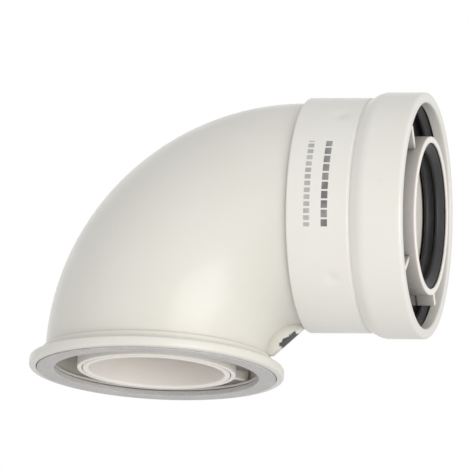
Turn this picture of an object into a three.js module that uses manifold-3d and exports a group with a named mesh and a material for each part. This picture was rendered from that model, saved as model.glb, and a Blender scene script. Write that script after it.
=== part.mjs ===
// A concentric 90 degree flue elbow for a room-sealed boiler: a white air elbow round a plastic flue elbow.
// Millimetres, +Z up. The origin is the centre of the base face, where the elbow sits on the boiler,
// and the outlet points along +X. Combustion air runs between the two ducts, flue gas runs inside the inner one.

import * as THREE from "three";
import { mergeVertices } from "three/addons/utils/BufferGeometryUtils.js";
import Module from "manifold-3d";

const wasm = await Module();
wasm.setup();

// Main route, shared by both ducts
const AIR_BEND_RADIUS = 64; // centreline of the air elbow
const NECK_RISE = 9; // straight neck under the air bend
const BEND_TANGENT = 3; // straight end of the air bend that shows before the socket
const SOCKET_LENGTH = 53; // air socket, from its joint to its mouth

// Air duct
const AIR_RADIUS = 50; // outside of the 100 mm duct
const AIR_WALL = 1.6;
const THROAT_WEB_THICKNESS = 3; // stiffening web in the throat of the air bend
const THROAT_WEB_REACH = 3.5; // how far its lower corner stands out from the neck
const SOCKET_OVERLAP = 11; // how far the bend runs into its socket
const SOCKET_WALL = 2.2;
const STOP_LEDGE = 1.3; // height of the ledge that the bend's end meets
const STOP_LEDGE_WIDTH = 2;
const SEAL_CHAMBER_LENGTH = 24; // the fatter end of the air socket
const SEAL_CHAMBER_FLARE = 5; // run of the slope up to it
const SEAL_CHAMBER_SWELL = 2.5; // how much fatter its outside is
const SEAL_CHAMBER_WALL = 2;
const AIR_SEAL_WIDTH = 10.6;
const AIR_SEAL_SETBACK = 5.2; // mouth to the near side of the seal's groove
const AIR_SEAL_BITE = 1.5; // how far the lips reach into the duct's place
const DUCT_INSERTION = 33; // mouth to the duct's stops
const DIMPLES = 4;
const DIMPLE_RADIUS = 3;
const DIMPLE_DEPTH = 1.4;
const DIMPLE_ANGLE = 45;

// Base flange and gasket
const FLANGE_STANDS_OUT = 7; // past the air duct
const FLANGE_HEIGHT = 5;
const FLANGE_COLLAR_HEIGHT = 3.6; // collar that holds the neck, above the flange
const FLANGE_COLLAR_WALL = 1.6;
const FLANGE_WEB = 1.4;
const WEB_OVERHANG = 2.4; // how far the web reaches in under the neck
const GASKET_THICKNESS = 2.6;
const GASKET_WIDTH = 7.8;
const GASKET_STANDS_PROUD = 0.6;

// Flue duct
const FLUE_RADIUS = 30; // outside of the 60 mm duct
const FLUE_WALL = 1.8;
const BELL_WALL = 2.8;
const BASE_BELL_DEPTH = 24.5;
const BASE_BELL_SETBACK = 0.8; // rim above the base face
const BELL_TAPER = 3; // run between a bell and its duct
const BASE_SEAL_SETBACK = 13.5; // rim to the near side of the base seal's groove
const FLUE_SOCKET_PROUD = 2; // how far the flue socket stands out of the air socket
const SPIGOT_REACH = 10; // flue elbow's spigot, past the end of the air bend's curve
const SPIGOT_OVERLAP = 18; // how far the flue socket runs back over the spigot
const SPIGOT_STOP_WIDTH = 1.8;
const MOUTH_SEAL_WIDTH = 9.4;
const MOUTH_RIM = 0.9; // lip in front of the mouth seal
const FLUE_SEAL_WIDTH = 6.4;
const FLUE_SEAL_HEIGHT = 3.1;
const FLUE_SEAL_BITE = 1.1;
const GROOVE_WALL = 2;

// Centring
const LEGS = 4;
const LEG_THICKNESS = 2.6;
const LEG_ANGLE = 45;
const SPIDER_HUB_WALL = 2;
const SPIDER_LENGTH = 6; // along the outlet; the base spider fills the neck
const FIN_THICKNESS = 2.2;
const FIN_LENGTH = 15.5;
const FIN_SETBACK = 1.5;
const FIN_ANGLE = 45;
const FIN_DUCT_GAP = 3.5; // left between a fin and the bore, for the wall of the air duct

// Joint seal rings
const CORD_SIZE = 1.5;
const CORD_FROM_END = 4;

const GAP = 0.3; // between pieces that touch
const EDGE = 0.8; // chamfer on moulded edges
const ROUND = 36; // sides of every round piece
const BEND_STEPS = 9;

// Sizes that follow from those above
const AXIS_HEIGHT = NECK_RISE + AIR_BEND_RADIUS;
const JOINT_X = AIR_BEND_RADIUS + BEND_TANGENT;
const MOUTH_X = JOINT_X + SOCKET_LENGTH;
const BEND_END_X = JOINT_X + SOCKET_OVERLAP;
const SOCKET_BORE = AIR_RADIUS + GAP;
const SOCKET_OUTSIDE = SOCKET_BORE + SOCKET_WALL;
const CHAMBER_OUTSIDE = SOCKET_OUTSIDE + SEAL_CHAMBER_SWELL;
const CHAMBER_BORE = CHAMBER_OUTSIDE - SEAL_CHAMBER_WALL;
const AIR_BORE = AIR_RADIUS - AIR_WALL;
const FLUE_BORE = FLUE_RADIUS - FLUE_WALL;
const BELL_BORE = FLUE_RADIUS + GAP;
const BELL_OUTSIDE = BELL_BORE + BELL_WALL;
const GROOVE_BORE = BELL_BORE + FLUE_SEAL_HEIGHT;
const GROOVE_OUTSIDE = GROOVE_BORE + GROOVE_WALL;
const BASE_BELL_TOP = BASE_BELL_SETBACK + BASE_BELL_DEPTH;
const FLUE_BEND_RADIUS = AXIS_HEIGHT - BASE_BELL_TOP - BELL_TAPER;
const SPIGOT_END_X = AIR_BEND_RADIUS + SPIGOT_REACH;
const FLUE_SOCKET_X = SPIGOT_END_X - SPIGOT_OVERLAP;
const FLUE_MOUTH_X = MOUTH_X + FLUE_SOCKET_PROUD;
const FLANGE_RADIUS = AIR_RADIUS + FLANGE_STANDS_OUT;
const COLLAR_TOP = FLANGE_HEIGHT + FLANGE_COLLAR_HEIGHT;
const WEB_BOTTOM = GASKET_THICKNESS + GAP;
const NECK_BOTTOM = WEB_BOTTOM + FLANGE_WEB + GAP;
const GASKET_INSIDE = AIR_BORE - WEB_OVERHANG - GAP;
const GASKET_OUTSIDE = GASKET_INSIDE + GASKET_WIDTH;

// The centreline of a duct: up from the base, through a quarter bend, then along +X to the outlet.
// Distances along it start at the base face.
function centreline(bendRadius) {
  const rise = AXIS_HEIGHT - bendRadius;
  const sweep = (bendRadius * Math.PI) / 2;
  const stations = Array.from({ length: BEND_STEPS + 1 }, (_, i) => rise + (sweep * i) / BEND_STEPS);
  return {
    stations,
    atX: (x) => rise + sweep + x - bendRadius,
    // Where the centreline is after a distance, and which way is outwards there.
    frame(distance) {
      const turn = THREE.MathUtils.clamp((distance - rise) / bendRadius, 0, Math.PI / 2);
      const past = Math.max(0, distance - rise - sweep);
      const outward = new THREE.Vector3(-Math.cos(turn), 0, Math.sin(turn));
      const centre = new THREE.Vector3(bendRadius + past, 0, Math.min(distance, rise));
      return { outward, centre: centre.addScaledVector(outward, bendRadius) };
    },
  };
}

const airLine = centreline(AIR_BEND_RADIUS);
const flueLine = centreline(FLUE_BEND_RADIUS);

// Adds a point to the outline at each bend station that an edge passes.
function stepped(outline, stations) {
  return outline.flatMap((from, i) => {
    const to = outline[(i + 1) % outline.length];
    const passed = stations.filter((s) => (s - from[0]) * (s - to[0]) < 0);
    if (to[0] < from[0]) passed.reverse();
    const slope = (to[1] - from[1]) / (to[0] - from[0]);
    return [from, ...passed.map((s) => [s, from[1] + (s - from[0]) * slope])];
  });
}

// A ring or tube: an outline of [distance, radius] points turned about the centreline.
// The outline runs along the outside first, away from the base, and back along the bore.
function turned(line, outline) {
  const points = stepped(outline, line.stations).map(([distance, radius]) => new THREE.Vector2(radius, distance));
  const geometry = new THREE.LatheGeometry([...points, points[0]], ROUND);
  const position = geometry.getAttribute("position");
  for (let i = 0; i < position.count; i++) {
    const { centre, outward } = line.frame(position.getY(i));
    const x = centre.x + outward.x * position.getZ(i);
    const z = centre.z + outward.z * position.getZ(i);
    position.setXYZ(i, x, -position.getX(i), z);
  }
  return geometry;
}

// The same, for a piece on the straight outlet, with the first number of each point an x.
const turnedAtOutlet = (outline) =>
  turned(
    flueLine,
    outline.map(([x, radius]) => [flueLine.atX(x), radius]),
  );

function solidOf(geometry) {
  const bare = geometry.clone();
  bare.deleteAttribute("normal");
  bare.deleteAttribute("uv");
  const merged = mergeVertices(bare, 1e-3);
  return new wasm.Manifold(
    new wasm.Mesh({
      numProp: 3,
      vertProperties: merged.attributes.position.array,
      triVerts: new Uint32Array(merged.index.array),
    }),
  );
}

function geometryOf(solid) {
  const mesh = solid.getMesh();
  return new THREE.BufferGeometry()
    .setAttribute("position", new THREE.BufferAttribute(mesh.vertProperties, 3))
    .setIndex(new THREE.BufferAttribute(mesh.triVerts, 1));
}

const degrees = THREE.MathUtils.degToRad;

// A thin plate that stands out from the outlet's axis, from radius to radius and from x to x.
// Angle 0 points to -Y, and 90 points up.
function outletPlate([x0, x1], [r0, r1], thickness, angle) {
  return new THREE.BoxGeometry(x1 - x0, r1 - r0, thickness)
    .translate((x0 + x1) / 2, (r0 + r1) / 2, 0)
    .rotateX(Math.PI - degrees(angle))
    .translate(0, 0, AXIS_HEIGHT);
}

// The same about the base's vertical axis, from z to z.
function basePlate([z0, z1], [r0, r1], thickness, angle) {
  return new THREE.BoxGeometry(r1 - r0, thickness, z1 - z0)
    .translate((r0 + r1) / 2, 0, (z0 + z1) / 2)
    .rotateZ(degrees(angle));
}

const evenly = (count, start) => Array.from({ length: count }, (_, i) => start + (360 * i) / count);

// Air elbow: one smooth quarter bend with a short neck, a plain end that goes into the socket, and a web
// across the throat.
function airBend() {
  const end = airLine.atX(BEND_END_X);
  const body = turned(airLine, [
    [NECK_BOTTOM, AIR_RADIUS],
    [end - EDGE, AIR_RADIUS],
    [end, AIR_RADIUS - EDGE],
    [end, AIR_BORE],
    [NECK_BOTTOM, AIR_BORE],
  ]);
  return geometryOf(solidOf(body).add(solidOf(throatWeb()).subtract(airBendCore())));
}

function throatWeb() {
  const underside = AXIS_HEIGHT - AIR_RADIUS;
  const web = new THREE.Shape();
  web.moveTo(AIR_RADIUS, COLLAR_TOP + GAP);
  web.lineTo(AIR_RADIUS + THROAT_WEB_REACH, COLLAR_TOP + GAP);
  web.lineTo(JOINT_X - GAP, underside - THROAT_WEB_REACH / 2);
  web.lineTo(JOINT_X - GAP, underside);
  web.lineTo(AIR_BEND_RADIUS, AXIS_HEIGHT);
  web.lineTo(0, AXIS_HEIGHT);
  return new THREE.ExtrudeGeometry(web, { depth: THROAT_WEB_THICKNESS, bevelEnabled: false })
    .translate(0, 0, -THROAT_WEB_THICKNESS / 2)
    .rotateX(Math.PI / 2);
}

// The bend's inside and half its wall as one plug.
function airBendCore() {
  const end = airLine.atX(BEND_END_X);
  const radius = AIR_RADIUS - AIR_WALL / 2;
  const plug = turned(airLine, [
    [0, radius],
    [end, radius],
    [end, 0],
    [0, 0],
  ]);
  return solidOf(plug);
}

// Air socket: a sleeve over the bend's end, with a seal chamber at its mouth and pressed dimples as duct stops.
function airSocket() {
  const chamberX = MOUTH_X - SEAL_CHAMBER_LENGTH;
  const grooveEnd = MOUTH_X - AIR_SEAL_SETBACK;
  const grooveStart = grooveEnd - AIR_SEAL_WIDTH - 2 * GAP;
  const cordX = JOINT_X + CORD_FROM_END;
  const ledgeX = BEND_END_X + GAP;
  const bore = SOCKET_BORE;
  const body = turnedAtOutlet([
    [JOINT_X, SOCKET_OUTSIDE - EDGE],
    [JOINT_X + EDGE, SOCKET_OUTSIDE],
    [chamberX, SOCKET_OUTSIDE],
    [chamberX + SEAL_CHAMBER_FLARE, CHAMBER_OUTSIDE],
    [MOUTH_X - 2 * EDGE, CHAMBER_OUTSIDE],
    [MOUTH_X, CHAMBER_OUTSIDE - 2 * EDGE],
    [MOUTH_X, bore + 1.5 * EDGE],
    [MOUTH_X - 2 * EDGE, bore],
    [grooveEnd, bore],
    [grooveEnd, CHAMBER_BORE],
    [grooveStart, CHAMBER_BORE],
    [grooveStart, bore],
    [ledgeX + STOP_LEDGE_WIDTH, bore],
    [ledgeX + STOP_LEDGE_WIDTH, bore - STOP_LEDGE],
    [ledgeX, bore - STOP_LEDGE],
    [ledgeX, bore],
    [cordX + CORD_SIZE / 2 + GAP, bore],
    [cordX + CORD_SIZE / 2 + GAP, bore + CORD_SIZE],
    [cordX - CORD_SIZE / 2 - GAP, bore + CORD_SIZE],
    [cordX - CORD_SIZE / 2 - GAP, bore],
    [JOINT_X, bore],
  ]);
  const dimple = (angle, radius, depth) =>
    new THREE.SphereGeometry(radius, 12, 8)
      .scale(1, 1, depth / radius)
      .translate(0, 0, SOCKET_OUTSIDE)
      .rotateX(degrees(90 - angle))
      .translate(MOUTH_X - DUCT_INSERTION, 0, AXIS_HEIGHT);
  let solid = solidOf(body);
  for (const angle of evenly(DIMPLES, DIMPLE_ANGLE)) {
    solid = solid.add(solidOf(dimple(angle, DIMPLE_RADIUS, SOCKET_WALL + DIMPLE_DEPTH)).intersect(boreFill()));
    solid = solid.subtract(solidOf(dimple(angle, DIMPLE_RADIUS - EDGE, DIMPLE_DEPTH)));
  }
  return geometryOf(solid);
}

// The sleeve's inside and wall as one plug, which keeps the dimples from showing outside.
function boreFill() {
  const radius = SOCKET_OUTSIDE - SOCKET_WALL / 2;
  return solidOf(
    new THREE.CylinderGeometry(radius, radius, SOCKET_LENGTH, ROUND)
      .rotateZ(Math.PI / 2)
      .translate(JOINT_X + SOCKET_LENGTH / 2, 0, AXIS_HEIGHT),
  );
}

// Base flange: a rim that the boiler's clamp plate holds down, with a collar round the neck.
function baseFlange() {
  const bottom = GASKET_STANDS_PROUD;
  const gasketSeat = GASKET_OUTSIDE + GAP;
  const collar = SOCKET_BORE + FLANGE_COLLAR_WALL;
  return turned(airLine, [
    [bottom, gasketSeat],
    [bottom, FLANGE_RADIUS - EDGE],
    [bottom + EDGE, FLANGE_RADIUS],
    [FLANGE_HEIGHT - EDGE, FLANGE_RADIUS],
    [FLANGE_HEIGHT, FLANGE_RADIUS - EDGE],
    [FLANGE_HEIGHT, collar + EDGE],
    [FLANGE_HEIGHT + EDGE, collar],
    [COLLAR_TOP, collar],
    [COLLAR_TOP, SOCKET_BORE],
    [WEB_BOTTOM + FLANGE_WEB, SOCKET_BORE],
    [WEB_BOTTOM + FLANGE_WEB, AIR_BORE - WEB_OVERHANG],
    [WEB_BOTTOM, AIR_BORE - WEB_OVERHANG],
    [WEB_BOTTOM, gasketSeat],
  ]);
}

// Flat gasket in the flange's underside. The elbow stands on it.
function baseGasket() {
  return turned(airLine, [
    [0, GASKET_INSIDE + EDGE],
    [0, GASKET_OUTSIDE],
    [GASKET_THICKNESS, GASKET_OUTSIDE],
    [GASKET_THICKNESS, GASKET_INSIDE],
    [EDGE, GASKET_INSIDE],
  ]);
}

// Flue elbow: a bell for the boiler's outlet, a quarter bend and a plain spigot.
function flueElbow() {
  const rim = BASE_BELL_SETBACK;
  const grooveStart = rim + BASE_SEAL_SETBACK;
  const grooveEnd = grooveStart + FLUE_SEAL_WIDTH + 2 * GAP;
  const bendStart = BASE_BELL_TOP + BELL_TAPER;
  const end = flueLine.atX(SPIGOT_END_X);
  return turned(flueLine, [
    [rim, BELL_OUTSIDE],
    [grooveStart - GROOVE_WALL - EDGE, BELL_OUTSIDE],
    [grooveStart - GROOVE_WALL, GROOVE_OUTSIDE],
    [grooveEnd + EDGE, GROOVE_OUTSIDE],
    [grooveEnd + GROOVE_WALL, BELL_OUTSIDE],
    [BASE_BELL_TOP, BELL_OUTSIDE],
    [bendStart, FLUE_RADIUS],
    [end - EDGE, FLUE_RADIUS],
    [end, FLUE_RADIUS - EDGE],
    [end, FLUE_BORE],
    [BASE_BELL_TOP, FLUE_BORE],
    [BASE_BELL_TOP, BELL_BORE],
    [grooveEnd, BELL_BORE],
    [grooveEnd, GROOVE_BORE],
    [grooveStart, GROOVE_BORE],
    [grooveStart, BELL_BORE],
    [rim + EDGE, BELL_BORE],
    [rim, BELL_BORE + EDGE],
  ]);
}

// Flue socket: slides over the elbow's spigot and carries the mouth's seal and the centring fins.
function flueSocket() {
  const joint = jointSealX();
  const mouthGrooveEnd = FLUE_MOUTH_X - MOUTH_RIM;
  const mouthGrooveStart = mouthGrooveEnd - MOUTH_SEAL_WIDTH - 2 * GAP;
  const stop = SPIGOT_END_X + GAP;
  const body = turnedAtOutlet([
    [FLUE_SOCKET_X, BELL_OUTSIDE - EDGE],
    [FLUE_SOCKET_X + EDGE, BELL_OUTSIDE],
    [joint.start - GROOVE_WALL, BELL_OUTSIDE],
    [joint.start - EDGE, GROOVE_OUTSIDE],
    [joint.end + EDGE, GROOVE_OUTSIDE],
    [joint.end + GROOVE_WALL, BELL_OUTSIDE],
    [mouthGrooveStart - GROOVE_WALL, BELL_OUTSIDE],
    [mouthGrooveStart - EDGE, GROOVE_OUTSIDE],
    [FLUE_MOUTH_X - EDGE, GROOVE_OUTSIDE],
    [FLUE_MOUTH_X, GROOVE_OUTSIDE - EDGE],
    [FLUE_MOUTH_X, GROOVE_BORE - EDGE],
    [mouthGrooveEnd, GROOVE_BORE - EDGE],
    [mouthGrooveEnd, GROOVE_BORE],
    [mouthGrooveStart, GROOVE_BORE],
    [mouthGrooveStart, BELL_BORE],
    [stop + SPIGOT_STOP_WIDTH, BELL_BORE],
    [stop + SPIGOT_STOP_WIDTH, FLUE_BORE],
    [stop, FLUE_BORE],
    [stop, BELL_BORE],
    [joint.end, BELL_BORE],
    [joint.end, GROOVE_BORE],
    [joint.start, GROOVE_BORE],
    [joint.start, BELL_BORE],
    [FLUE_SOCKET_X, BELL_BORE],
  ]);
  const finEnd = MOUTH_X - FIN_SETBACK;
  const finTip = SOCKET_BORE - FIN_DUCT_GAP;
  const back = [finEnd - FIN_LENGTH, mouthGrooveStart];
  const front = [mouthGrooveStart - GROOVE_WALL, finEnd];
  let solid = solidOf(body);
  for (const angle of evenly(LEGS, FIN_ANGLE)) {
    solid = solid.add(solidOf(outletPlate(back, [BELL_OUTSIDE - GROOVE_WALL / 2, finTip], FIN_THICKNESS, angle)));
    solid = solid.add(solidOf(outletPlate(front, [GROOVE_OUTSIDE - GROOVE_WALL / 2, finTip], FIN_THICKNESS, angle)));
  }
  return geometryOf(solid);
}

// The groove of the seal between the flue elbow's spigot and its socket.
function jointSealX() {
  const start = FLUE_SOCKET_X + SPIGOT_OVERLAP / 2 - FLUE_SEAL_WIDTH / 2 - GAP;
  return { start, end: start + FLUE_SEAL_WIDTH + 2 * GAP };
}

// A rubber ring with two lips that lean in, in a groove that runs from start to end.
function lipSeal(place, start, end, grooveBore, ductRadius, bite) {
  const back = grooveBore - GAP;
  const web = (back + ductRadius) / 2;
  const lip = ductRadius - bite;
  const [from, to] = [start + GAP, end - GAP];
  const middle = (from + to) / 2;
  const quarter = (to - from) / 4;
  return place([
    [from, back],
    [to, back],
    [to, web],
    [middle + quarter, lip],
    [middle + quarter / 2, lip],
    [middle, web],
    [middle - quarter, lip],
    [middle - 1.5 * quarter, lip],
    [from, web],
  ]);
}

// Sets the lips of a seal clear of the duct that stays in it, such as the flue elbow's own spigot.
const ON_OWN_DUCT = -GAP;

function airSeal() {
  const end = MOUTH_X - AIR_SEAL_SETBACK;
  return lipSeal(turnedAtOutlet, end - AIR_SEAL_WIDTH - 2 * GAP, end, CHAMBER_BORE, AIR_RADIUS, AIR_SEAL_BITE);
}

function mouthFlueSeal() {
  const end = FLUE_MOUTH_X - MOUTH_RIM;
  return lipSeal(turnedAtOutlet, end - MOUTH_SEAL_WIDTH - 2 * GAP, end, GROOVE_BORE, FLUE_RADIUS, FLUE_SEAL_BITE);
}

function jointFlueSeal() {
  const { start, end } = jointSealX();
  return lipSeal(turnedAtOutlet, start, end, GROOVE_BORE, FLUE_RADIUS, ON_OWN_DUCT);
}

function baseFlueSeal() {
  const start = BASE_BELL_SETBACK + BASE_SEAL_SETBACK;
  const end = start + FLUE_SEAL_WIDTH + 2 * GAP;
  return lipSeal((outline) => turned(flueLine, outline), start, end, GROOVE_BORE, FLUE_RADIUS, FLUE_SEAL_BITE);
}

// Rubber cord ring in a groove over the air duct, square in section and centred on a distance.
function cordRing(place, middle) {
  const half = CORD_SIZE / 2;
  return place([
    [middle - half, SOCKET_BORE + CORD_SIZE - GAP],
    [middle + half, SOCKET_BORE + CORD_SIZE - GAP],
    [middle + half, SOCKET_BORE],
    [middle - half, SOCKET_BORE],
  ]);
}

// Spider: a hub on the flue duct, with legs that reach the inside of the air duct.
function spider(hub, plate, span) {
  let solid = solidOf(hub);
  const reach = [BELL_OUTSIDE + GAP + SPIDER_HUB_WALL / 2, AIR_BORE * Math.cos(Math.PI / ROUND) - GAP];
  for (const angle of evenly(LEGS, LEG_ANGLE)) solid = solid.add(solidOf(plate(span, reach, LEG_THICKNESS, angle)));
  return geometryOf(solid);
}

const hubOutline = ([from, to]) => [
  [from, BELL_OUTSIDE + GAP + SPIDER_HUB_WALL],
  [to, BELL_OUTSIDE + GAP + SPIDER_HUB_WALL],
  [to, BELL_OUTSIDE + GAP],
  [from, BELL_OUTSIDE + GAP],
];

function socketSpider() {
  const start = jointSealX().end + GROOVE_WALL + GAP;
  const span = [start, start + SPIDER_LENGTH];
  return spider(turnedAtOutlet(hubOutline(span)), outletPlate, span);
}

// Its hub runs down to the bell's rim, where it closes in the flue bell below the legs.
function baseSpider() {
  const hub = turned(flueLine, hubOutline([BASE_BELL_SETBACK + GAP, NECK_RISE]));
  return spider(hub, basePlate, [NECK_BOTTOM, NECK_RISE]);
}

const whiteEnamel = () => new THREE.MeshStandardMaterial({ color: 0xe9e6dd, roughness: 0.45, metalness: 0 });
const whitePlastic = () => new THREE.MeshStandardMaterial({ color: 0xded6ca, roughness: 0.55, metalness: 0 });
const blackRubber = () => new THREE.MeshStandardMaterial({ color: 0x232225, roughness: 0.6, metalness: 0 });
const greyRubber = () => new THREE.MeshStandardMaterial({ color: 0xcbc9c7, roughness: 0.8, metalness: 0 });

const elbow = new THREE.Group();
function place(name, geometry, material) {
  const mesh = new THREE.Mesh(geometry, material);
  mesh.name = name;
  elbow.add(mesh);
}

place("air_bend", airBend(), whiteEnamel());
place("air_socket", airSocket(), whiteEnamel());
place("base_flange", baseFlange(), whiteEnamel());
place("base_gasket", baseGasket(), greyRubber());
place("flue_elbow", flueElbow(), whitePlastic());
place("flue_socket", flueSocket(), whitePlastic());
place("air_mouth_seal", airSeal(), blackRubber());
place("flue_mouth_seal", mouthFlueSeal(), blackRubber());
place("flue_joint_seal", jointFlueSeal(), blackRubber());
place("flue_base_seal", baseFlueSeal(), blackRubber());
place("air_joint_seal", cordRing(turnedAtOutlet, JOINT_X + CORD_FROM_END), blackRubber());
place("socket_spider", socketSpider(), whitePlastic());
place("base_spider", baseSpider(), whitePlastic());

export default elbow;
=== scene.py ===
"""A white concentric flue elbow.

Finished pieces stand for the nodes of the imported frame, in a studio with soft light and a camera.
"""

import math

import bmesh
import bpy
from mathutils import Matrix, Vector


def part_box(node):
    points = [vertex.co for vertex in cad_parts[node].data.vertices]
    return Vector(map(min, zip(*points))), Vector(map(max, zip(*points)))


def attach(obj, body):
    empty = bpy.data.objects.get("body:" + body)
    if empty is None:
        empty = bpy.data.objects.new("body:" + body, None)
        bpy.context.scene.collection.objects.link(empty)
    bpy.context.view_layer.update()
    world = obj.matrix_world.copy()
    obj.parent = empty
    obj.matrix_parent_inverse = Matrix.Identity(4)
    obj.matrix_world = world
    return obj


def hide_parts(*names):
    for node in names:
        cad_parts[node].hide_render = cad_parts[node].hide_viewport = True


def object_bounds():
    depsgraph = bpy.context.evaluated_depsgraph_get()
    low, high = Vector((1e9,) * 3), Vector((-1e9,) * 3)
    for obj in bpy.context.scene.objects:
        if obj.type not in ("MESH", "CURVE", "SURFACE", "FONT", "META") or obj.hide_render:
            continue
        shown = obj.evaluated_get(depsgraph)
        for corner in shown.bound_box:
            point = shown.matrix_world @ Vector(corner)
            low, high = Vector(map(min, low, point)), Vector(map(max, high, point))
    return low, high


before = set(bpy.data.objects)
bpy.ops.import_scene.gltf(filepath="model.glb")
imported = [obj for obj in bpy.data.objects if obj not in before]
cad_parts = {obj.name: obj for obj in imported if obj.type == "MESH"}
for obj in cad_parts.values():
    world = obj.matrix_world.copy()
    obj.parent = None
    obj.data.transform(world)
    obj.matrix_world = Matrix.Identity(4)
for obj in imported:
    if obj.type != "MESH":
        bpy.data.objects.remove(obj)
cad_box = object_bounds()

# The frame's own sizes, in metres
bend_low, bend_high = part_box("air_bend")
socket_low, socket_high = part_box("air_socket")
flange_low, flange_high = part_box("base_flange")
gasket_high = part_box("base_gasket")[1]
flue_low, flue_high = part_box("flue_elbow")
inner_low, inner_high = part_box("flue_socket")
cord_low, cord_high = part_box("air_joint_seal")
joint_low, joint_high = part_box("flue_joint_seal")

AXIS_HEIGHT = (socket_low[2] + socket_high[2]) / 2
JOINT_X, MOUTH_X = socket_low[0], socket_high[0]
AIR_RADIUS = (bend_high[1] - bend_low[1]) / 2
BEND_END_X = bend_high[0]
NECK_BOTTOM = bend_low[2]
CHAMBER_OUTSIDE = (socket_high[1] - socket_low[1]) / 2
FLANGE_RADIUS = flange_high[1]
FLANGE_BOTTOM, COLLAR_TOP = flange_low[2], flange_high[2]
GASKET_OUTSIDE, GASKET_TOP = gasket_high[1], gasket_high[2]
GROOVE_OUTSIDE = flue_high[1]
BASE_RIM = flue_low[2]
SPIGOT_END_X = flue_high[0]
FLUE_SOCKET_X, FLUE_MOUTH_X = inner_low[0], inner_high[0]

# Sizes that the boxes don't show
GAP = 0.0003  # clearance between two pieces
AIR_BEND_RADIUS = 0.064
AIR_WALL = 0.0016
SOCKET_WALL = 0.0022
STOP_LEDGE = 0.0013
STOP_LEDGE_WIDTH = 0.002
CHAMBER_WALL = 0.002
CHAMBER_LENGTH = 0.024
CHAMBER_FLARE = 0.005  # run of the slope up to the seal chamber
SEAM_START, SEAM_BOTTOM, SEAM_END = -0.0013, -0.0005, 0.0004  # the groove at the slope's foot
SEAM_DEPTH = 0.0008
AIR_SEAL_SETBACK = 0.0052
AIR_SEAL_WIDTH = 0.0106
DUCT_INSERTION = 0.033
DIMPLE_RADIUS = 0.0032
DIMPLE_DEPTH = 0.0014
DIMPLE_ANGLE = 45
DIMPLE_STEEPNESS = 1.35
FLANGE_HEIGHT = 0.005
FLANGE_COLLAR_WALL = 0.0016
FLANGE_WEB = 0.0014
WEB_OVERHANG = 0.0024
THROAT_WEB_THICKNESS = 0.003
THROAT_WEB_REACH = 0.0035
THROAT_WEB_ROUNDING = 0.0009
THROAT_ARC_STEPS = 12
# painted shadow: a dark band along the throat web's free edge, this deep and over this span
WEB_SHADOW_DEPTH = 0.0021
WEB_SHADOW_SPAN = (0.25, 0.8)  # from and to, as shares of the web's free edge
FLUE_RADIUS = 0.030
FLUE_WALL = 0.0018
BELL_WALL = 0.0028
BASE_BELL_DEPTH = 0.0245
BELL_TAPER = 0.003
BASE_SEAL_SETBACK = 0.0135
FLUE_SEAL_WIDTH = 0.0064
FLUE_SEAL_HEIGHT = 0.0031
MOUTH_SEAL_WIDTH = 0.0094
MOUTH_RIM = 0.0009
MOUTH_RIM_LIP = 0.0008
GROOVE_WALL = 0.002
GROOVE_SLOPE = 0.0008  # run of the step up to a seal groove's outside
SPIGOT_STOP_WIDTH = 0.0018
HUB_WALL = 0.002
LEG_THICKNESS = 0.0026
LEG_ANGLE = 45
RIB_ROOT = 0.001  # how deep a rib's foot is sunk in the wall that it stands on
FIN_THICKNESS = 0.0022
FIN_LENGTH = 0.0155
FIN_SETBACK = 0.0015
FIN_ANGLE = 45
FIN_TIP_SETBACK = 0.0035
AIR_SEAL_BITE = 0.0015
FLUE_SEAL_BITE = 0.0011

# Marking on the sleeve: two rows of plain bars, round the near side
PRINT_X = 0.0805
PRINT_ROW_GAP = 0.0080
PRINT_BOTTOM, PRINT_TOP = -0.017, 0.0235  # along the arc, from the outlet axis' height
PRINT_EDGE = 0.0003  # width of a bar's soft edge
PRINT_SKIN = 0.0004  # depth to which the sleeve's outside counts as marked
# For each row: its side of PRINT_X, a bar's width, the pitch, the bars' share of it and their strength
PRINT_ROWS = ((-0.5, 0.0030, 0.0031, 0.66, 0.55), (0.5, 0.0032, 0.0042, 0.78, 0.88))

# Sizes that follow
SOCKET_BORE = AIR_RADIUS + GAP
SOCKET_OUTSIDE = SOCKET_BORE + SOCKET_WALL
CHAMBER_BORE = CHAMBER_OUTSIDE - CHAMBER_WALL
AIR_BORE = AIR_RADIUS - AIR_WALL
FLUE_BORE = FLUE_RADIUS - FLUE_WALL
BELL_BORE = FLUE_RADIUS + GAP
BELL_OUTSIDE = BELL_BORE + BELL_WALL
GROOVE_BORE = BELL_BORE + FLUE_SEAL_HEIGHT
BASE_BELL_TOP = BASE_RIM + BASE_BELL_DEPTH
FLUE_BEND_RADIUS = AXIS_HEIGHT - BASE_BELL_TOP - BELL_TAPER

ROUND = 144  # points round every ring
STEP = 0.0025  # length of a mesh step along a piece
ARC_STEPS = 4  # in each rounded corner

# Colours
# painted light and shade: one white coating, tinted darker on the bend and flange and lighter on the
# socket
BEND_SHADED_TINT = (0.702, 0.687, 0.638)
SOCKET_LIT_TINT = (0.745, 0.73, 0.69)
ENAMEL_STAIN = (0.965, 0.96, 0.935)  # multiplies the tint
ENAMEL_SPECK = (0.55, 0.52, 0.47)
# dust colour, laid by occlusion where shade falls, so it is partly painted shade
ENAMEL_DUST_AND_SHADE = (0.46, 0.42, 0.36)
ENAMEL_SCUFF = (0.60, 0.59, 0.57)
# dark print on the sleeve, also the painted shadow on the throat web's edge
PRINT_AND_SHADOW_COLOUR = (0.06, 0.06, 0.063)
PLASTIC_LIGHT, PLASTIC_DARK = (0.87, 0.83, 0.785), (0.82, 0.775, 0.715)
# dust colour, laid by occlusion where shade falls, so it is partly painted shade
PLASTIC_DUST_AND_SHADE = (0.40, 0.36, 0.31)
# painted shade: the near-black that darkens deep gaps
PLASTIC_PAINTED_SHADE = (0.085, 0.08, 0.075)
RUBBER_DARK, RUBBER_LIGHT = (0.016, 0.015, 0.017), (0.032, 0.030, 0.031)
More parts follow.
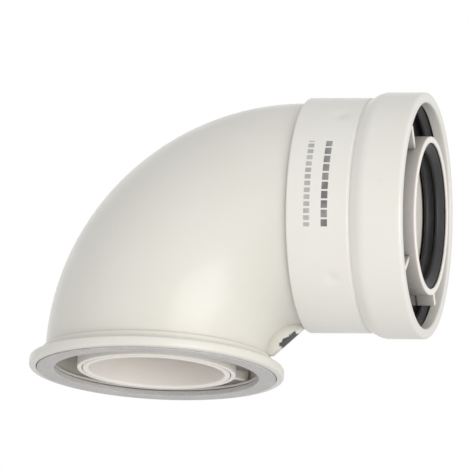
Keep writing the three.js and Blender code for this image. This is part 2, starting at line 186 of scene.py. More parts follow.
# grey bloom, with painted sheen on the ridges
RUBBER_BLOOM_AND_SHEEN = (0.11, 0.105, 0.10)
RUBBER_DUST = (0.20, 0.19, 0.17)
SPONGE_LIGHT, SPONGE_DARK = (0.58, 0.565, 0.555), (0.50, 0.49, 0.48)
SPONGE_PORE = (0.34, 0.33, 0.32)
FLOOR_LIGHT, FLOOR_DARK = (0.93, 0.93, 0.93), (0.90, 0.90, 0.90)

# Studio
AZIMUTH, ELEVATION, ROLL = math.radians(13.5), math.radians(-12.9), math.radians(3.23)
CAMERA_DISTANCE = 5.25
FOCAL_LENGTH, SENSOR_WIDTH = 900, 36  # mm
VIEW_DEPTH = 60
FLOOR_DEPTH = 5.6  # below the object, under every camera that looks up at it
FLOOR_REACH = 20
ROOM_LIGHT, CARD_LIGHT = 0.76, 1.0
CARD_CORE, CARD_EDGE = math.radians(4), math.radians(14)


class Route:
    """A duct's centreline: up from the base, round a quarter bend, then along +X."""

    def __init__(self, bend_radius):
        self.bend_radius = bend_radius
        self.rise = AXIS_HEIGHT - bend_radius
        self.sweep = bend_radius * math.pi / 2

    def at_x(self, x):
        """The distance along the route to an x on the outlet."""
        return self.rise + self.sweep + x - self.bend_radius

    def place(self, distance, radius, angle):
        """A point beside the route. Angle 0 is on the outside of the bend, and 90 degrees is -Y."""
        turn = min(max((distance - self.rise) / self.bend_radius, 0), math.pi / 2)
        past = max(0, distance - self.rise - self.sweep)
        outward = Vector((-math.cos(turn), 0, math.sin(turn)))
        centre = Vector((self.bend_radius + past, 0, min(distance, self.rise)))
        side = Vector((0, -1, 0))
        out = self.bend_radius + radius * math.cos(angle)
        return centre + outward * out + side * (radius * math.sin(angle))


AIR_ROUTE = Route(AIR_BEND_RADIUS)
FLUE_ROUTE = Route(FLUE_BEND_RADIUS)


def rounded(corners):
    """A closed outline from (along, radius, rounding) corners, with each corner rounded by an arc."""
    outline = []
    count = len(corners)
    for i, (along, radius, rounding) in enumerate(corners):
        here = Vector((along, radius))
        before = Vector(corners[i - 1][:2]) - here
        after = Vector(corners[(i + 1) % count][:2]) - here
        reach = min(rounding, before.length * 0.45, after.length * 0.45)
        if reach < 1e-5:
            outline.append(here)
            continue
        start, end = here + before.normalized() * reach, here + after.normalized() * reach
        for step in range(ARC_STEPS + 1):
            t = step / ARC_STEPS
            outline.append(start * (1 - t) ** 2 + here * 2 * t * (1 - t) + end * t**2)
    return outline


def stepped(outline, step=STEP):
    """The same outline with long edges cut into steps."""
    points = []
    for here, there in zip(outline, outline[1:] + outline[:1]):
        pieces = max(1, math.ceil((there - here).length / step))
        points += [here.lerp(there, i / pieces) for i in range(pieces)]
    return points


def new_piece(name, mesh):
    piece = bpy.data.objects.new(name, mesh)
    bpy.context.collection.objects.link(piece)
    return piece


def turned_mesh(name, route, corners, shift=None):
    """A closed ring or tube: the rounded outline, swept round the route.

    shift, a function of (along, radius, angle), moves single points in or out.
    """
    outline = stepped(rounded(corners))
    rows = len(outline)
    vertices = []
    for point in outline:
        for k in range(ROUND):
            angle = 2 * math.pi * k / ROUND
            radius = point.y + (shift(point.x, point.y, angle) if shift else 0)
            vertices.append(route.place(point.x, radius, angle))
    faces = []
    for i in range(rows):
        j = (i + 1) % rows
        for k in range(ROUND):
            m = (k + 1) % ROUND
            faces.append((i * ROUND + k, j * ROUND + k, j * ROUND + m, i * ROUND + m))
    mesh = bpy.data.meshes.new(name)
    mesh.from_pydata(vertices, [], faces)
    return mesh


def finish_mesh(mesh):
    """Turns the faces outward and shades them smooth."""
    shape = bmesh.new()
    shape.from_mesh(mesh)
    bmesh.ops.recalc_face_normals(shape, faces=shape.faces)
    shape.to_mesh(mesh)
    shape.free()
    mesh.shade_smooth()


def at_outlet(corners):
    """Corners whose first number is an x on the outlet, as distances along the flue's route."""
    return [(FLUE_ROUTE.at_x(x), radius, rounding) for x, radius, rounding in corners]


def rib(name, low, high, rounding):
    """A moulded rib that stands along +Z, from low to high, with rounded edges."""
    shape = bmesh.new()
    bmesh.ops.create_cube(shape, size=1)
    size = Vector(high) - Vector(low)
    bmesh.ops.scale(shape, vec=size, verts=shape.verts)
    bmesh.ops.translate(shape, vec=(Vector(high) + Vector(low)) / 2, verts=shape.verts)
    bmesh.ops.bevel(shape, geom=shape.edges[:], offset=rounding, segments=3, profile=0.5, affect="EDGES")
    mesh = bpy.data.meshes.new(name)
    shape.to_mesh(mesh)
    shape.free()
    return mesh


def merged(name, meshes):
    """One mesh of several."""
    shape = bmesh.new()
    for mesh in meshes:
        shape.from_mesh(mesh)
    mesh = bpy.data.meshes.new(name)
    shape.to_mesh(mesh)
    shape.free()
    return mesh


def turned_rib(mesh, matrix):
    """The same rib, moved by the matrix."""
    mesh.transform(matrix)
    return mesh


# Materials


def nodes_of(name):
    """A new material, its node tree and its surface shader."""
    material = bpy.data.materials.new(name)
    material.use_nodes = True
    tree = material.node_tree
    shader = tree.nodes["Principled BSDF"]
    return material, tree, shader


def link(tree, source, target):
    tree.links.new(source, target)


def noise(tree, place, scale, detail=3.0, roughness=0.5, stretch=(1, 1, 1)):
    """Noise in the object's own metres. scale is in features per metre."""
    mapping = tree.nodes.new("ShaderNodeMapping")
    mapping.inputs["Scale"].default_value = stretch
    link(tree, place, mapping.inputs["Vector"])
    texture = tree.nodes.new("ShaderNodeTexNoise")
    texture.inputs["Scale"].default_value = scale
    texture.inputs["Detail"].default_value = detail
    texture.inputs["Roughness"].default_value = roughness
    link(tree, mapping.outputs["Vector"], texture.inputs["Vector"])
    return texture.outputs["Fac"]


def ramp(tree, factor, low, high, start=0.0, end=1.0):
    """Maps factor from start..end to low..high."""
    node = tree.nodes.new("ShaderNodeMapRange")
    node.inputs["From Min"].default_value = start
    node.inputs["From Max"].default_value = end
    node.inputs["To Min"].default_value = low
    node.inputs["To Max"].default_value = high
    link(tree, factor, node.inputs["Value"])
    return node.outputs["Result"]


def blend_colours(tree, factor, first, second):
    """Mixes two colours, each a colour or a socket."""
    node = tree.nodes.new("ShaderNodeMix")
    node.data_type = "RGBA"
    link(tree, factor, node.inputs["Factor"])
    for value, socket in ((first, node.inputs["A"]), (second, node.inputs["B"])):
        if isinstance(value, tuple):
            socket.default_value = (*value, 1)
        else:
            link(tree, value, socket)
    return node.outputs["Result"]


def bump(tree, height, distance, strength=1.0, before=None):
    node = tree.nodes.new("ShaderNodeBump")
    node.inputs["Strength"].default_value = strength
    node.inputs["Distance"].default_value = distance
    link(tree, height, node.inputs["Height"])
    if before is not None:
        link(tree, before, node.inputs["Normal"])
    return node.outputs["Normal"]


def math_node(tree, operation, first, second=None):
    node = tree.nodes.new("ShaderNodeMath")
    node.operation = operation
    for value, socket in ((first, node.inputs[0]), (second, node.inputs[1])):
        if value is None:
            continue
        if isinstance(value, (int, float)):
            socket.default_value = value
        else:
            link(tree, value, socket)
    return node.outputs[0]


def web_edge():
    """The two ends of the throat web's free edge, in the XZ plane."""
    low_end = Vector((AIR_RADIUS + THROAT_WEB_REACH, COLLAR_TOP + GAP))
    high_end = Vector((JOINT_X - GAP, AXIS_HEIGHT - AIR_RADIUS - THROAT_WEB_REACH / 2))
    return low_end, high_end


def object_place(tree):
    return tree.nodes.new("ShaderNodeTexCoord").outputs["Object"]


def convex_edges(tree):
    """High on rounded outer edges, low elsewhere."""
    pointiness = tree.nodes.new("ShaderNodeNewGeometry").outputs["Pointiness"]
    return ramp(tree, pointiness, 0, 1, 0.52, 0.62)


def crease_shade(tree, distance):
    """High where the surface is close to another, where shade falls."""
    node = tree.nodes.new("ShaderNodeAmbientOcclusion")
    node.samples = 8
    node.inputs["Distance"].default_value = distance
    return ramp(tree, node.outputs["AO"], 1, 0, 0.2, 0.9)


def white_enamel(name, tint, mark=None):
    """Satin white coating: orange peel, soft stains, dust and painted shade in the creases, and scuffs
    on the edges.

    mark, a function of (tree, place), says where dark marks lie: print on the socket, painted shadow on
    the bend.
    """
    material, tree, shader = nodes_of(name)
    place = object_place(tree)
    stains = noise(tree, place, 14, 4, 0.6)
    fine = noise(tree, place, 90, 5, 0.6)
    stained = tuple(channel * share for channel, share in zip(tint, ENAMEL_STAIN))
    colour = blend_colours(tree, ramp(tree, stains, 0, 1, 0.35, 0.7), tint, stained)
    specks = ramp(tree, noise(tree, place, 700, 2, 0.5), 0, 0.35, 0.7, 0.8)
    colour = blend_colours(tree, specks, colour, ENAMEL_SPECK)
    # dust laid where another surface is within 4 mm, which also paints crease shade
    dust = math_node(tree, "MULTIPLY", crease_shade(tree, 0.004), ramp(tree, fine, 0.25, 0.8, 0.3, 0.7))
    colour = blend_colours(tree, dust, colour, ENAMEL_DUST_AND_SHADE)
    scuffs = math_node(tree, "MULTIPLY", convex_edges(tree), ramp(tree, fine, 0, 0.5, 0.5, 0.62))
    colour = blend_colours(tree, scuffs, colour, ENAMEL_SCUFF)
    if mark:
        colour = blend_colours(tree, mark(tree, place), colour, PRINT_AND_SHADOW_COLOUR)
    link(tree, colour, shader.inputs["Base Color"])
    link(tree, ramp(tree, fine, 0.34, 0.46, 0.3, 0.7), shader.inputs["Roughness"])
    shader.inputs["IOR"].default_value = 1.5
    shader.inputs["Coat Weight"].default_value = 0.25
    shader.inputs["Coat Roughness"].default_value = 0.2
    peel = bump(tree, noise(tree, place, 420, 2, 0.5), 0.00006, 0.35)
    waves = bump(tree, noise(tree, place, 30, 1, 0.4), 0.0004, 0.2, peel)
    link(tree, waves, shader.inputs["Normal"])
    return material


def print_marks(tree, place):
    """Two short rows of plain bars round the sleeve, the outer row darker."""
    axes = tree.nodes.new("ShaderNodeSeparateXYZ")
    link(tree, place, axes.inputs["Vector"])
    x = axes.outputs["X"]
    height = math_node(tree, "SUBTRACT", axes.outputs["Z"], AXIS_HEIGHT)
    near = math_node(tree, "LESS_THAN", axes.outputs["Y"], 0)
    around = math_node(tree, "DIVIDE", height, SOCKET_OUTSIDE)
    around = math_node(tree, "MULTIPLY", math_node(tree, "ARCSINE", around), SOCKET_OUTSIDE)
    outside = math_node(tree, "POWER", axes.outputs["Y"], 2)
    outside = math_node(tree, "ADD", outside, math_node(tree, "POWER", height, 2))
    outside = math_node(tree, "GREATER_THAN", outside, (SOCKET_OUTSIDE - PRINT_SKIN) ** 2)
    total = None
    for side, width, pitch, share, strength in PRINT_ROWS:
        across = math_node(tree, "SUBTRACT", x, PRINT_X + side * PRINT_ROW_GAP)
        across = math_node(tree, "ABSOLUTE", across)
        across = ramp(tree, across, 1, 0, width / 2 - PRINT_EDGE, width / 2)
        dash = math_node(tree, "DIVIDE", math_node(tree, "ADD", around, 1), pitch)
        dash = math_node(tree, "FRACT", dash)
        dash = ramp(tree, dash, 1, 0, share, share + 0.06)
        row = math_node(tree, "MULTIPLY", math_node(tree, "MULTIPLY", across, dash), strength)
        total = row if total is None else math_node(tree, "ADD", total, row)
    above = math_node(tree, "GREATER_THAN", around, PRINT_BOTTOM)
    below = math_node(tree, "LESS_THAN", around, PRINT_TOP)
    for mask in (near, outside, above, below):
        total = math_node(tree, "MULTIPLY", total, mask)
    worn = ramp(tree, noise(tree, place, 120, 2, 0.5), 0.75, 1, 0.35, 0.6)
    return math_node(tree, "MULTIPLY", total, worn)


def painted_web_edge_shadow(tree, place):
    """A ragged, near-black band of painted shadow along the throat web's free edge."""
    start, end = web_edge()
    along = (end - start).normalized()
    outward = Vector((along.y, -along.x))
    axes = tree.nodes.new("ShaderNodeSeparateXYZ")
    link(tree, place, axes.inputs["Vector"])

    def reach(direction):
        """Distance from the edge's start in a direction of the XZ plane."""
        along_x = math_node(tree, "MULTIPLY", axes.outputs["X"], direction.x)
        along_z = math_node(tree, "MULTIPLY", axes.outputs["Z"], direction.y)
        total = math_node(tree, "ADD", along_x, along_z)
        return math_node(tree, "SUBTRACT", total, start.dot(direction))

    ragged = ramp(tree, noise(tree, place, 500, 4, 0.6), -0.0009, 0.0009, 0.3, 0.7)
    depth = math_node(tree, "ADD", reach(outward), ragged)
    band = ramp(tree, depth, 0, 1, -WEB_SHADOW_DEPTH - 0.0001, -WEB_SHADOW_DEPTH + 0.0001)
    length = math_node(tree, "ADD", reach(along), ragged)
    shadow_from, shadow_to = ((end - start).length * share for share in WEB_SHADOW_SPAN)
    first = ramp(tree, length, 0, 1, shadow_from, shadow_from + 0.0006)
    last = ramp(tree, length, 1, 0, shadow_to - 0.0006, shadow_to)
    sideways = math_node(tree, "ABSOLUTE", axes.outputs["Y"])
    near = math_node(tree, "LESS_THAN", sideways, THROAT_WEB_THICKNESS)
    total = math_node(tree, "MULTIPLY", band, near)
    return math_node(tree, "MULTIPLY", total, math_node(tree, "MULTIPLY", first, last))


def flue_plastic(name, shade=0.0):
    """Off-white moulded polypropylene, with flow marks, and dust and painted shade in the corners.

    shade, from 0 to 1, paints shade into the colour of what lies deep in a gap.
    """
    material, tree, shader = nodes_of(name)
    place = object_place(tree)
    flow = noise(tree, place, 22, 4, 0.55, (0.35, 1, 1))
    fine = noise(tree, place, 160, 4, 0.6)
    colour = blend_colours(tree, ramp(tree, flow, 0, 1, 0.3, 0.7), PLASTIC_LIGHT, PLASTIC_DARK)
    # dust laid where another surface is within 5 mm, which also paints crease shade
    dust = math_node(tree, "MULTIPLY", crease_shade(tree, 0.005), ramp(tree, fine, 0.3, 0.9, 0.3, 0.7))
    colour = blend_colours(tree, dust, colour, PLASTIC_DUST_AND_SHADE)
    if shade:
        # painted shade: darker where another surface lies within 30 mm, deep in the gap
        painted_gap_shade = math_node(tree, "MULTIPLY", crease_shade(tree, 0.03), shade)
        colour = blend_colours(tree, painted_gap_shade, colour, PLASTIC_PAINTED_SHADE)
    link(tree, colour, shader.inputs["Base Color"])
    link(tree, ramp(tree, fine, 0.42, 0.58, 0.3, 0.7), shader.inputs["Roughness"])
    shader.inputs["IOR"].default_value = 1.49
    shader.inputs["Subsurface Weight"].default_value = 0.15
    shader.inputs["Subsurface Radius"].default_value = (0.004, 0.003, 0.002)
    shader.inputs["Subsurface Scale"].default_value = 1.0
    grain = bump(tree, noise(tree, place, 900, 2, 0.5), 0.00005, 0.4)
    link(tree, bump(tree, flow, 0.0003, 0.25, grain), shader.inputs["Normal"])
    return material


def black_rubber(name):
    """Moulded black rubber with a fine grain, a grey bloom and a painted sheen on its ridges, and pale
    dust.
    """
    material, tree, shader = nodes_of(name)
    place = object_place(tree)
    cloud = noise(tree, place, 60, 4, 0.6)
    grain = noise(tree, place, 1500, 2, 0.5)
    colour = blend_colours(tree, ramp(tree, cloud, 0, 1, 0.35, 0.7), RUBBER_DARK, RUBBER_LIGHT)
    # bloom and painted highlight: lighter grey on the rubber's ridges
    bloom_and_sheen = math_node(tree, "MULTIPLY", convex_edges(tree), ramp(tree, cloud, 0.1, 0.7, 0.3, 0.7))
    colour = blend_colours(tree, bloom_and_sheen, colour, RUBBER_BLOOM_AND_SHEEN)
    dust = ramp(tree, noise(tree, place, 800, 3, 0.6), 0, 0.5, 0.66, 0.8)
    colour = blend_colours(tree, dust, colour, RUBBER_DUST)
    link(tree, colour, shader.inputs["Base Color"])
    link(tree, ramp(tree, cloud, 0.38, 0.58, 0.3, 0.7), shader.inputs["Roughness"])
    shader.inputs["IOR"].default_value = 1.52
    link(tree, bump(tree, grain, 0.00005, 0.5), shader.inputs["Normal"])
    return material


def grey_sponge(name):
    """Pale grey cellular rubber, full of small open pores."""
    material, tree, shader = nodes_of(name)
    place = object_place(tree)
    cells = tree.nodes.new("ShaderNodeTexVoronoi")
    cells.inputs["Scale"].default_value = 1400
    link(tree, place, cells.inputs["Vector"])
    pores = ramp(tree, cells.outputs["Distance"], 1, 0, 0.1, 0.45)
    cloud = noise(tree, place, 40, 3, 0.6)
    colour = blend_colours(tree, ramp(tree, cloud, 0, 1, 0.3, 0.7), SPONGE_LIGHT, SPONGE_DARK)
    colour = blend_colours(tree, math_node(tree, "MULTIPLY", pores, 0.6), colour, SPONGE_PORE)
    link(tree, colour, shader.inputs["Base Color"])
    link(tree, ramp(tree, cloud, 0.75, 0.9, 0.3, 0.7), shader.inputs["Roughness"])
    link(tree, bump(tree, pores, 0.0002, 0.6), shader.inputs["Normal"])
    return material


def add_piece(name, meshes, material, node):
    """A finished piece that stands for a node of the frame."""
    mesh = merged(name, meshes)
    finish_mesh(mesh)
    mesh.materials.append(material)
    piece = new_piece(name, mesh)
    normals = piece.modifiers.new("even_normals", "WEIGHTED_NORMAL")
    normals.keep_sharp = True
    normals.weight = 60
    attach(piece, "root")
    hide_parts(node)
    return piece


# the bend's enamel: the shaded tint, with painted shadow along the throat web's edge
enamel_bend = white_enamel("enamel_bend", BEND_SHADED_TINT, painted_web_edge_shadow)
# the socket's enamel: the lit tint
enamel_socket = white_enamel("enamel_socket", SOCKET_LIT_TINT, print_marks)
enamel_flange = white_enamel("enamel_flange", BEND_SHADED_TINT)
plastic = flue_plastic("flue_plastic_satin")
# this plastic carries painted shade in the gap round the flue socket
plastic_with_painted_shade = flue_plastic("flue_plastic_painted_shade", 0.95)
rubber = black_rubber("black_rubber_moulded")
sponge = grey_sponge("grey_sponge_rubber")


# Air bend, with its throat web

bend_end = AIR_ROUTE.at_x(BEND_END_X)
bend_mesh = turned_mesh(
    "air_bend_body",
    AIR_ROUTE,
    [
        (NECK_BOTTOM, AIR_RADIUS, 0.0004),
        (bend_end, AIR_RADIUS, 0.0008),
        (bend_end, AIR_BORE, 0.0004),
        (NECK_BOTTOM, AIR_BORE, 0.0004),
    ],
)


def throat_web():
    """A thin web that fills the throat's corner, with a rounded free edge."""
    top = AXIS_HEIGHT - AIR_RADIUS
    outline = [
        *(tuple(corner) for corner in web_edge()),
        (JOINT_X - GAP, top + AIR_WALL / 2),
        (AIR_BEND_RADIUS, top + AIR_WALL / 2),
    ]
    throat = AIR_BEND_RADIUS - AIR_RADIUS + AIR_WALL / 2
    for step in range(1, THROAT_ARC_STEPS):
        turn = math.pi / 2 * step / THROAT_ARC_STEPS
        x = AIR_BEND_RADIUS - throat * math.sin(turn)
        outline.append((x, AIR_ROUTE.rise + throat * math.cos(turn)))
    outline.append((AIR_RADIUS - AIR_WALL / 2, COLLAR_TOP + GAP))
    shape = bmesh.new()
    ring = [shape.verts.new((x, -THROAT_WEB_THICKNESS / 2, z)) for x, z in outline]
    face = shape.faces.new(ring)
    raised = bmesh.ops.extrude_face_region(shape, geom=[face])
    moved = [v for v in raised["geom"] if isinstance(v, bmesh.types.BMVert)]
    bmesh.ops.translate(shape, vec=(0, THROAT_WEB_THICKNESS, 0), verts=moved)
    past = AIR_RADIUS + THROAT_WEB_REACH / 2
    free = [
        edge
        for edge in shape.edges
        if all(v.co.x > past and v.co.z < top for v in edge.verts)
        and abs(edge.verts[0].co.y - edge.verts[1].co.y) < 1e-6
    ]
    bmesh.ops.bevel(
        shape, geom=free, offset=THROAT_WEB_ROUNDING, segments=4, profile=0.5, affect="EDGES"
    )
    mesh = bpy.data.meshes.new("throat_web")
    shape.to_mesh(mesh)
    shape.free()
    return mesh


add_piece("air_bend_shell", [bend_mesh, throat_web()], enamel_bend, "air_bend")

# Air socket

chamber_x = MOUTH_X - CHAMBER_LENGTH
groove_end = MOUTH_X - AIR_SEAL_SETBACK
groove_start = groove_end - AIR_SEAL_WIDTH - 2 * GAP
ledge_x = BEND_END_X + GAP
cord_groove = cord_high[1] + GAP
dimple_x = FLUE_ROUTE.at_x(MOUTH_X - DUCT_INSERTION)


def dimples(along, radius, angle):
    """How far the sleeve's wall is pressed in at a point, by its four duct stops."""
    if abs(along - dimple_x) > 3 * DIMPLE_RADIUS or radius < SOCKET_BORE - GAP:
        return 0
    from_start = (math.degrees(angle) - DIMPLE_ANGLE + 45) % 90 - 45
    across = math.radians(from_start) * radius
    away = math.hypot(along - dimple_x, across) / DIMPLE_RADIUS
    return -DIMPLE_DEPTH * math.exp(-((away * DIMPLE_STEEPNESS) ** 4))


socket_mesh = turned_mesh(
    "air_socket_body",
    FLUE_ROUTE,
    at_outlet(
        [
            (JOINT_X, SOCKET_OUTSIDE, 0.0009),
            (chamber_x + SEAM_START, SOCKET_OUTSIDE, 0.0004),
            (chamber_x + SEAM_BOTTOM, SOCKET_OUTSIDE - SEAM_DEPTH, 0.0004),
            (chamber_x + SEAM_END, SOCKET_OUTSIDE, 0.0004),
            (chamber_x + CHAMBER_FLARE, CHAMBER_OUTSIDE, 0.0022),
            (MOUTH_X, CHAMBER_OUTSIDE, 0.0017),
            (MOUTH_X, SOCKET_BORE, 0.0013),
            (groove_end, SOCKET_BORE, 0.0004),
            (groove_end, CHAMBER_BORE, 0.0004),
            (groove_start, CHAMBER_BORE, 0.0004),
            (groove_start, SOCKET_BORE, 0.0004),
            (ledge_x + STOP_LEDGE_WIDTH, SOCKET_BORE, 0.0003),
            (ledge_x + STOP_LEDGE_WIDTH, SOCKET_BORE - STOP_LEDGE, 0.0003),
            (ledge_x, SOCKET_BORE - STOP_LEDGE, 0.0003),
            (ledge_x, SOCKET_BORE, 0.0001),
            (cord_high[0] + GAP, SOCKET_BORE, 0.0001),
            (cord_high[0] + GAP, cord_groove, 0.0001),
            (cord_low[0] - GAP, cord_groove, 0.0001),
            (cord_low[0] - GAP, SOCKET_BORE, 0.0001),
            (JOINT_X, SOCKET_BORE, 0.0004),
        ]
    ),
    dimples,
)
add_piece("air_socket_shell", [socket_mesh], enamel_socket, "air_socket")

# Base flange and gasket

collar = SOCKET_BORE + FLANGE_COLLAR_WALL
web_bottom = GASKET_TOP + GAP
seat = GASKET_OUTSIDE + GAP
flange_mesh = turned_mesh(
    "base_flange_body",
    AIR_ROUTE,
    [
        (FLANGE_BOTTOM, seat, 0.0003),
        (FLANGE_BOTTOM, FLANGE_RADIUS, 0.0014),
        (FLANGE_HEIGHT, FLANGE_RADIUS, 0.0012),
        (FLANGE_HEIGHT, collar, 0.0009),
        (COLLAR_TOP, collar, 0.0007),
        (COLLAR_TOP, SOCKET_BORE, 0.0004),
        (web_bottom + FLANGE_WEB, SOCKET_BORE, 0.0002),
        (web_bottom + FLANGE_WEB, AIR_BORE - WEB_OVERHANG, 0.0005),
        (web_bottom, AIR_BORE - WEB_OVERHANG, 0.0005),
        (web_bottom, seat, 0.0003),
    ],
)
add_piece("base_flange_ring", [flange_mesh], enamel_flange, "base_flange")

gasket_inside = AIR_BORE - WEB_OVERHANG - GAP
gasket_mesh = turned_mesh(
    "base_gasket_body",
    AIR_ROUTE,
    [
        (0, gasket_inside, 0.0006),
        (0, GASKET_OUTSIDE, 0.0003),
        (GASKET_TOP, GASKET_OUTSIDE, 0.0003),
        (GASKET_TOP, gasket_inside, 0.0003),
    ],
)
add_piece("base_gasket_ring", [gasket_mesh], sponge, "base_gasket")

# Flue elbow

base_groove = BASE_RIM + BASE_SEAL_SETBACK
base_groove_end = base_groove + FLUE_SEAL_WIDTH + 2 * GAP
spigot_end = FLUE_ROUTE.at_x(SPIGOT_END_X)
elbow_mesh = turned_mesh(
    "flue_elbow_body",
    FLUE_ROUTE,
    [
        (BASE_RIM, BELL_OUTSIDE, 0.0009),
        (base_groove - GROOVE_WALL - GROOVE_SLOPE, BELL_OUTSIDE, 0.001),
        (base_groove - GROOVE_WALL, GROOVE_OUTSIDE, 0.001),
        (base_groove_end + GROOVE_SLOPE, GROOVE_OUTSIDE, 0.001),
        (base_groove_end + GROOVE_WALL, BELL_OUTSIDE, 0.001),
        (BASE_BELL_TOP, BELL_OUTSIDE, 0.002),
        (BASE_BELL_TOP + BELL_TAPER, FLUE_RADIUS, 0.002),
        (spigot_end, FLUE_RADIUS, 0.0008),
        (spigot_end, FLUE_BORE, 0.0005),
        (BASE_BELL_TOP, FLUE_BORE, 0.0006),
        (BASE_BELL_TOP, BELL_BORE, 0.0003),
        (base_groove_end, BELL_BORE, 0.0003),
        (base_groove_end, GROOVE_BORE, 0.0004),
        (base_groove, GROOVE_BORE, 0.0004),
        (base_groove, BELL_BORE, 0.0003),
        (BASE_RIM, BELL_BORE, 0.0009),
    ],
)
add_piece("flue_elbow_moulding", [elbow_mesh], plastic, "flue_elbow")

# Flue socket, with its fins

joint_start, joint_end = joint_low[0] - GAP, joint_high[0] + GAP
mouth_groove_end = FLUE_MOUTH_X - MOUTH_RIM
mouth_groove_start = mouth_groove_end - MOUTH_SEAL_WIDTH - 2 * GAP
stop = SPIGOT_END_X + GAP
inner_mesh = turned_mesh(
    "flue_socket_body",
    FLUE_ROUTE,
    at_outlet(
        [
            (FLUE_SOCKET_X, BELL_OUTSIDE, 0.0008),
            (joint_start - GROOVE_WALL, BELL_OUTSIDE, 0.001),
            (joint_start - GROOVE_SLOPE, GROOVE_OUTSIDE, 0.001),
            (joint_end + GROOVE_SLOPE, GROOVE_OUTSIDE, 0.001),
            (joint_end + GROOVE_WALL, BELL_OUTSIDE, 0.001),
            (mouth_groove_start - GROOVE_WALL, BELL_OUTSIDE, 0.001),
            (mouth_groove_start - GROOVE_SLOPE, GROOVE_OUTSIDE, 0.001),
            (FLUE_MOUTH_X, GROOVE_OUTSIDE, 0.0009),
            (FLUE_MOUTH_X, GROOVE_BORE - MOUTH_RIM_LIP, 0.0005),
            (mouth_groove_end, GROOVE_BORE - MOUTH_RIM_LIP, 0.0002),
            (mouth_groove_end, GROOVE_BORE, 0.0002),
            (mouth_groove_start, GROOVE_BORE, 0.0004),
            (mouth_groove_start, BELL_BORE, 0.0005),
            (stop + SPIGOT_STOP_WIDTH, BELL_BORE, 0.0003),
            (stop + SPIGOT_STOP_WIDTH, FLUE_BORE, 0.0006),
            (stop, FLUE_BORE, 0.0003),
            (stop, BELL_BORE, 0.0003),
            (joint_end, BELL_BORE, 0.0003),
            (joint_end, GROOVE_BORE, 0.0003),
            (joint_start, GROOVE_BORE, 0.0003),
            (joint_start, BELL_BORE, 0.0003),
            (FLUE_SOCKET_X, BELL_BORE, 0.0005),
        ]
    ),
)


def about_outlet(angle):
    """Turns a rib that stands along +Z to an angle about the outlet. Angle 0 is -Y and 90 is up."""
    return Matrix.Translation((0, 0, AXIS_HEIGHT)) @ Matrix.Rotation(math.radians(90 - angle), 4, "X")


def fins():
    """Four fins, each of a back part on the socket's body and a front part on its groove's wall."""
    end = MOUTH_X - FIN_SETBACK
    tip = SOCKET_BORE - FIN_TIP_SETBACK
    half = FIN_THICKNESS / 2
    spans = (
        (end - FIN_LENGTH, mouth_groove_start, BELL_OUTSIDE),
        (mouth_groove_start - GROOVE_WALL, end, GROOVE_OUTSIDE),
    )
    meshes = []
    for k in range(4):
        matrix = about_outlet(FIN_ANGLE + 90 * k)
        for start, finish, foot in spans:
            mesh = rib("fin", (start, -half, foot - RIB_ROOT), (finish, half, tip), 0.0005)
            meshes.append(turned_rib(mesh, matrix))
    return meshes


add_piece("flue_socket_moulding", [inner_mesh, *fins()], plastic_with_painted_shade, "flue_socket")

# Seals


def lip_corners(start, end, groove_bore, duct_radius, bite):
    """A seal's outline with two lips that lean in."""
    back = groove_bore - GAP
    web = (back + duct_radius) / 2
    lip = duct_radius - bite
    middle, quarter = (start + end) / 2, (end - start) / 4
    return [
        (start, back, 0.0003),
        (end, back, 0.0003),
        (end, web, 0.0005),
        (middle + quarter, lip, 0.0006),
        (middle + quarter / 2, lip, 0.0006),
        (middle, web, 0.0009),
        (middle - quarter, lip, 0.0006),
        (middle - 1.5 * quarter, lip, 0.0006),
        (start, web, 0.0005),
    ]


for node, groove_bore, duct_radius, bite in (
    ("air_mouth_seal", CHAMBER_BORE, AIR_RADIUS, AIR_SEAL_BITE),
    ("flue_mouth_seal", GROOVE_BORE, FLUE_RADIUS, FLUE_SEAL_BITE),
    ("flue_joint_seal", GROOVE_BORE, FLUE_RADIUS, -GAP),
):
    low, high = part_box(node)
    corners = at_outlet(lip_corners(low[0], high[0], groove_bore, duct_radius, bite))
    ring = turned_mesh(node + "_body", FLUE_ROUTE, corners)
    add_piece(node + "_ring", [ring], rubber, node)

low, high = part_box("flue_base_seal")
corners = lip_corners(low[2], high[2], GROOVE_BORE, FLUE_RADIUS, FLUE_SEAL_BITE)
base_seal = turned_mesh("flue_base_seal_body", FLUE_ROUTE, corners)
add_piece("flue_base_seal_ring", [base_seal], rubber, "flue_base_seal")

cord = turned_mesh(
    "air_joint_seal_body",
    FLUE_ROUTE,
    at_outlet(
        [
            (cord_low[0], cord_high[1], 0.0005),
            (cord_high[0], cord_high[1], 0.0005),
            (cord_high[0], SOCKET_BORE, 0.0005),
            (cord_low[0], SOCKET_BORE, 0.0005),
        ]
    ),
)
add_piece("air_joint_seal_ring", [cord], rubber, "air_joint_seal")

# Spiders


def hub_corners(start, end):
    """The outline of a spider's hub, round the flue duct's bells."""
    inside = BELL_OUTSIDE + GAP
    outside = inside + HUB_WALL
    return [
        (start, outside, 0.0005),
        (end, outside, 0.0005),
        (end, inside, 0.0004),
        (start, inside, 0.0004),
    ]


def legs(start, end, matrix_at):
    """Four legs from a spider's hub to the air duct. matrix_at turns a rib to an angle."""
    half = LEG_THICKNESS / 2
    foot = BELL_OUTSIDE + GAP + HUB_WALL / 2
    tip = AIR_BORE - 2 * GAP
    meshes = []
    for k in range(4):
        mesh = rib("leg", (start, -half, foot), (end, half, tip), 0.0006)
        meshes.append(turned_rib(mesh, matrix_at(LEG_ANGLE + 90 * k)))
    return meshes


low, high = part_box("socket_spider")
hub = turned_mesh("socket_spider_hub", FLUE_ROUTE, at_outlet(hub_corners(low[0], high[0])))
outlet_legs = legs(low[0], high[0], about_outlet)
add_piece("socket_spider_moulding", [hub, *outlet_legs], plastic, "socket_spider")


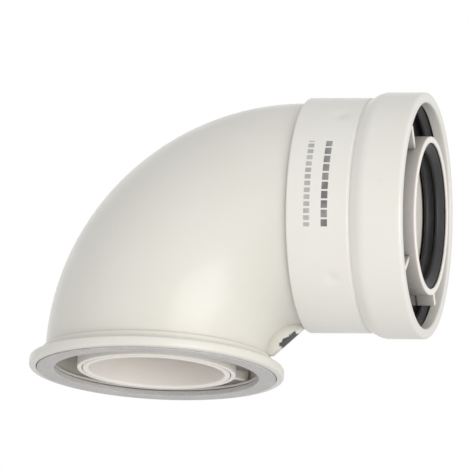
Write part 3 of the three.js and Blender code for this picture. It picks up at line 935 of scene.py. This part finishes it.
def about_base(angle):
    """Lays a rib that stands along +Z on its side, and turns it to an angle about the base's axis."""
    swap_x_and_z = Matrix(((0, 0, 1, 0), (0, 1, 0, 0), (1, 0, 0, 0), (0, 0, 0, 1)))
    return Matrix.Rotation(math.radians(angle), 4, "Z") @ swap_x_and_z


low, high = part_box("base_spider")
hub = turned_mesh("base_spider_hub", FLUE_ROUTE, hub_corners(low[2], high[2]))
base_legs = legs(NECK_BOTTOM, high[2], about_base)
add_piece("base_spider_moulding", [hub, *base_legs], plastic, "base_spider")

# Studio


def floor_material():
    material, tree, shader = nodes_of("studio_floor")
    place = object_place(tree)
    colour = blend_colours(tree, noise(tree, place, 2, 2), FLOOR_DARK, FLOOR_LIGHT)
    link(tree, colour, shader.inputs["Base Color"])
    shader.inputs["Roughness"].default_value = 0.9
    return material


floor_corners = [(FLOOR_REACH * x, FLOOR_REACH * y, 0) for x, y in ((-1, -1), (1, -1), (1, 1), (-1, 1))]
floor_mesh = bpy.data.meshes.new("studio_floor")
floor_mesh.from_pydata(floor_corners, [], [(0, 1, 2, 3)])
floor_mesh.materials.append(floor_material())
floor = new_piece("studio_floor", floor_mesh)
floor.location.z = -FLOOR_DEPTH


def softbox(name, offset, size, power, colour=(1, 1, 1)):
    """A square area light that stands off the object's centre and faces it."""
    light = bpy.data.lights.new(name, "AREA")
    light.shape = "RECTANGLE"
    light.size, light.size_y = size, size
    light.energy = power
    light.color = colour
    lamp = bpy.data.objects.new(name, light)
    bpy.context.collection.objects.link(lamp)
    lamp.location = centre + Vector(offset)
    lamp.rotation_euler = (-Vector(offset)).to_track_quat("-Z", "Y").to_euler()


low, high = (Vector(corner) for corner in cad_box)
centre = (low + high) / 2

softbox("key", (1.25, -1.35, -0.4), 1.5, 21, (1, 0.985, 0.965))
softbox("fill", (-1.1, -0.3, -1.3), 1.2, 3)
softbox("back", (-0.8, 1.5, 0.6), 1.2, 1.5)

bpy.context.scene.view_settings.view_transform = "Standard"

back = Vector(
    (
        math.sin(AZIMUTH) * math.cos(ELEVATION),
        -math.cos(AZIMUTH) * math.cos(ELEVATION),
        math.sin(ELEVATION),
    )
)


def studio_world(card):
    """Soft grey surroundings with a white card behind the object, in that direction."""
    world = bpy.data.worlds.new("studio")
    world.use_nodes = True
    tree = world.node_tree
    towards = tree.nodes.new("ShaderNodeVectorMath")
    towards.operation = "DOT_PRODUCT"
    towards.inputs[1].default_value = card
    direction = tree.nodes.new("ShaderNodeTexCoord").outputs["Generated"]
    link(tree, direction, towards.inputs[0])
    edge, core = math.cos(CARD_EDGE), math.cos(CARD_CORE)
    strength = ramp(tree, towards.outputs["Value"], ROOM_LIGHT, CARD_LIGHT, edge, core)
    background = tree.nodes["Background"]
    background.inputs["Color"].default_value = (1, 1, 1, 1)
    link(tree, strength, background.inputs["Strength"])
    return world


bpy.context.scene.world = studio_world(-back)

lens = bpy.data.cameras.new("camera")
lens.sensor_width = SENSOR_WIDTH
lens.lens = FOCAL_LENGTH
lens.clip_end = VIEW_DEPTH
camera = bpy.data.objects.new("camera", lens)
bpy.context.collection.objects.link(camera)
camera.location = centre + back * CAMERA_DISTANCE
facing = (-back).to_track_quat("-Z", "Y").to_matrix().to_4x4()
camera.rotation_euler = (facing @ Matrix.Rotation(ROLL, 4, "Z")).to_euler()
bpy.context.scene.camera = camera
